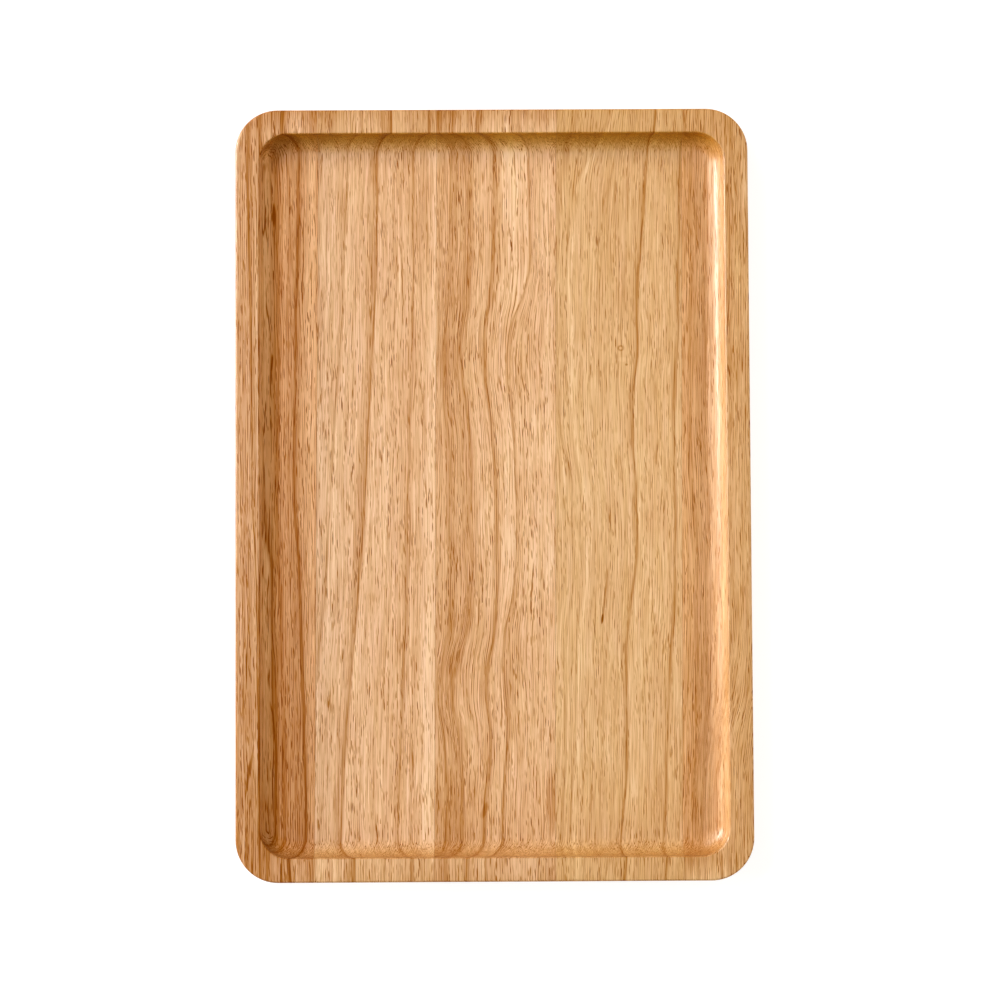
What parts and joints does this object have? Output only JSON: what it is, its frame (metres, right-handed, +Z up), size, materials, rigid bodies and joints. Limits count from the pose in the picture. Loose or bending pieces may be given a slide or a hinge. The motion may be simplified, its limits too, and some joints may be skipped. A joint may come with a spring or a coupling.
{
  "type": "serving tray",
  "caption": "Rectangular wooden serving tray glued up from edge-joined staves, with a flat rim, rounded corners and a shallow coved recess.",
  "frame": {"origin": "centre of the flat underside, where the tray rests", "axes": "+Z up out of the recess, +Y along the length, the grain and the glue joints, +X across the staves to the right"},
  "size_m": [0.2, 0.3, 0.015],
  "materials": {
    "left_edge_wood": "oiled rubberwood, reddish brown, straight grain, satin",
    "left_inner_wood": "oiled rubberwood, pale cream to pinkish, slightly leaning grain, satin",
    "centre_wood": "oiled rubberwood, orange tan, wavy flat-sawn grain, satin",
    "right_inner_wood": "oiled rubberwood, yellowish tan, flat-sawn grain with a small pin knot, satin",
    "right_edge_wood": "oiled rubberwood, reddish orange, straight grain, satin",
    "wood_glue": "cured PVA wood glue, amber brown film"
  },
  "bodies": {
    "root": {"left_edge_stave": "left_edge_wood", "left_inner_stave": "left_inner_wood", "centre_stave": "centre_wood", "right_inner_stave": "right_inner_wood", "right_edge_stave": "right_edge_wood", "left_edge_glue_line": "wood_glue", "left_inner_glue_line": "wood_glue", "right_inner_glue_line": "wood_glue", "right_edge_glue_line": "wood_glue"}
  },
  "joints": []
}
